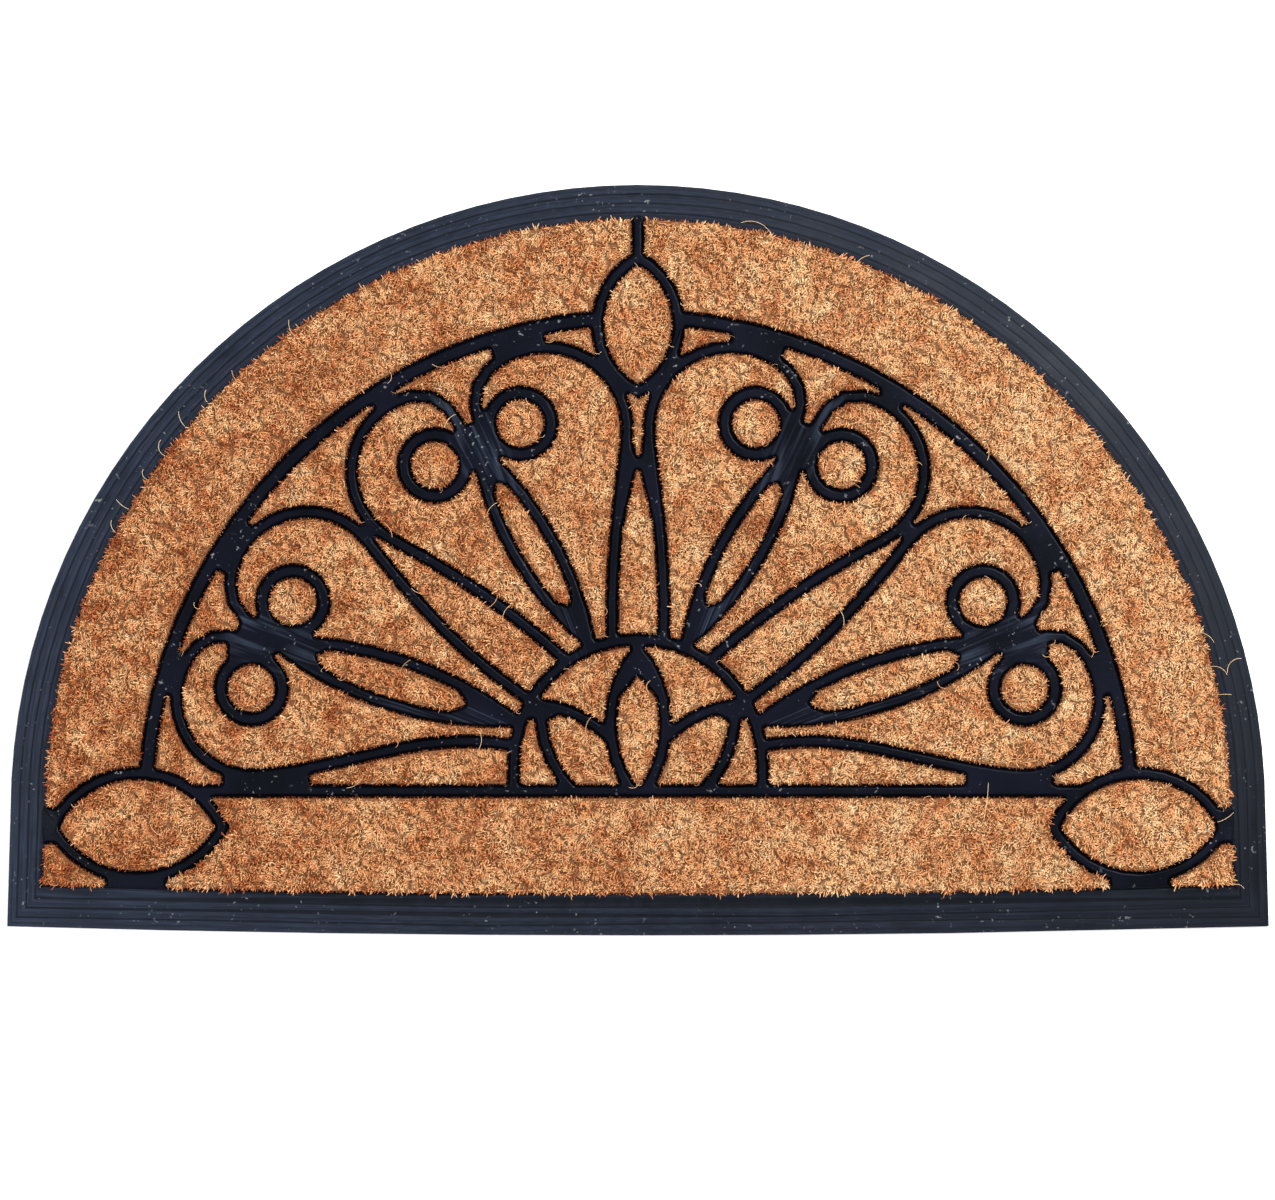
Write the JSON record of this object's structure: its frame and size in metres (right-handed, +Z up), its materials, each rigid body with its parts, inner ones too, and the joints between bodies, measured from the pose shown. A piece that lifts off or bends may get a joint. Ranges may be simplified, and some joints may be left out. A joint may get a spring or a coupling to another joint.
{
  "type": "half-round coir doormat",
  "caption": "Half-round doormat: a moulded rubber tray with a ribbed border and raised scroll ridges, filled with coir pile.",
  "frame": {"origin": "centre of the bounding box's bottom face, on the floor under the middle of the mat", "axes": "+X along the straight edge, to the right as the pattern is read; +Y towards the crown of the arch; +Z up"},
  "size_m": [0.762, 0.4536, 0.0126],
  "materials": {
    "black_rubber": "matt moulded rubber, slightly dusty",
    "coir_pile": "coarse cut coir pile, golden tan with straw and rust fibres"
  },
  "bodies": {
    "root": {"coir_band_left": "coir_pile", "coir_band_right": "coir_pile", "coir_bottom_band": "coir_pile", "coir_centre_petal": "coir_pile", "coir_corner_leaf_left": "coir_pile", "coir_corner_leaf_right": "coir_pile", "coir_corner_left": "coir_pile", "coir_corner_right": "coir_pile", "coir_eye_a_high_left": "coir_pile", "coir_eye_a_high_right": "coir_pile", "coir_eye_a_low_left": "coir_pile", "coir_eye_a_low_right": "coir_pile", "coir_eye_b_high_left": "coir_pile", "coir_eye_b_high_right": "coir_pile", "coir_eye_b_low_left": "coir_pile", "coir_eye_b_low_right": "coir_pile", "coir_half_petal_left": "coir_pile", "coir_half_petal_right": "coir_pile", "coir_lobe_a_high_left": "coir_pile", "coir_lobe_a_high_right": "coir_pile", "coir_lobe_a_low_left": "coir_pile", "coir_lobe_a_low_right": "coir_pile", "coir_lobe_b_high_left": "coir_pile", "coir_lobe_b_high_right": "coir_pile", "coir_lobe_b_low_left": "coir_pile", "coir_lobe_b_low_right": "coir_pile", "coir_petal_left": "coir_pile", "coir_petal_right": "coir_pile", "coir_slim_leaf_a_left": "coir_pile", "coir_slim_leaf_a_right": "coir_pile", "coir_slim_leaf_b_left": "coir_pile", "coir_slim_leaf_b_right": "coir_pile", "coir_spandrel_1_left": "coir_pile", "coir_spandrel_1_right": "coir_pile", "coir_spandrel_2_left": "coir_pile", "coir_spandrel_2_right": "coir_pile", "coir_spandrel_3_left": "coir_pile", "coir_spandrel_3_right": "coir_pile", "coir_spandrel_4_left": "coir_pile", "coir_spandrel_4_right": "coir_pile", "coir_spandrel_5_left": "coir_pile", "coir_spandrel_5_right": "coir_pile", "coir_sun_leaf": "coir_pile", "coir_sun_lower_left": "coir_pile", "coir_sun_lower_right": "coir_pile", "coir_sun_side_left": "coir_pile", "coir_sun_side_right": "coir_pile", "coir_sun_upper_left": "coir_pile", "coir_sun_upper_right": "coir_pile", "coir_top_drop": "coir_pile", "coir_top_leaf": "coir_pile", "rubber_tray": "black_rubber"}
  },
  "joints": []
}
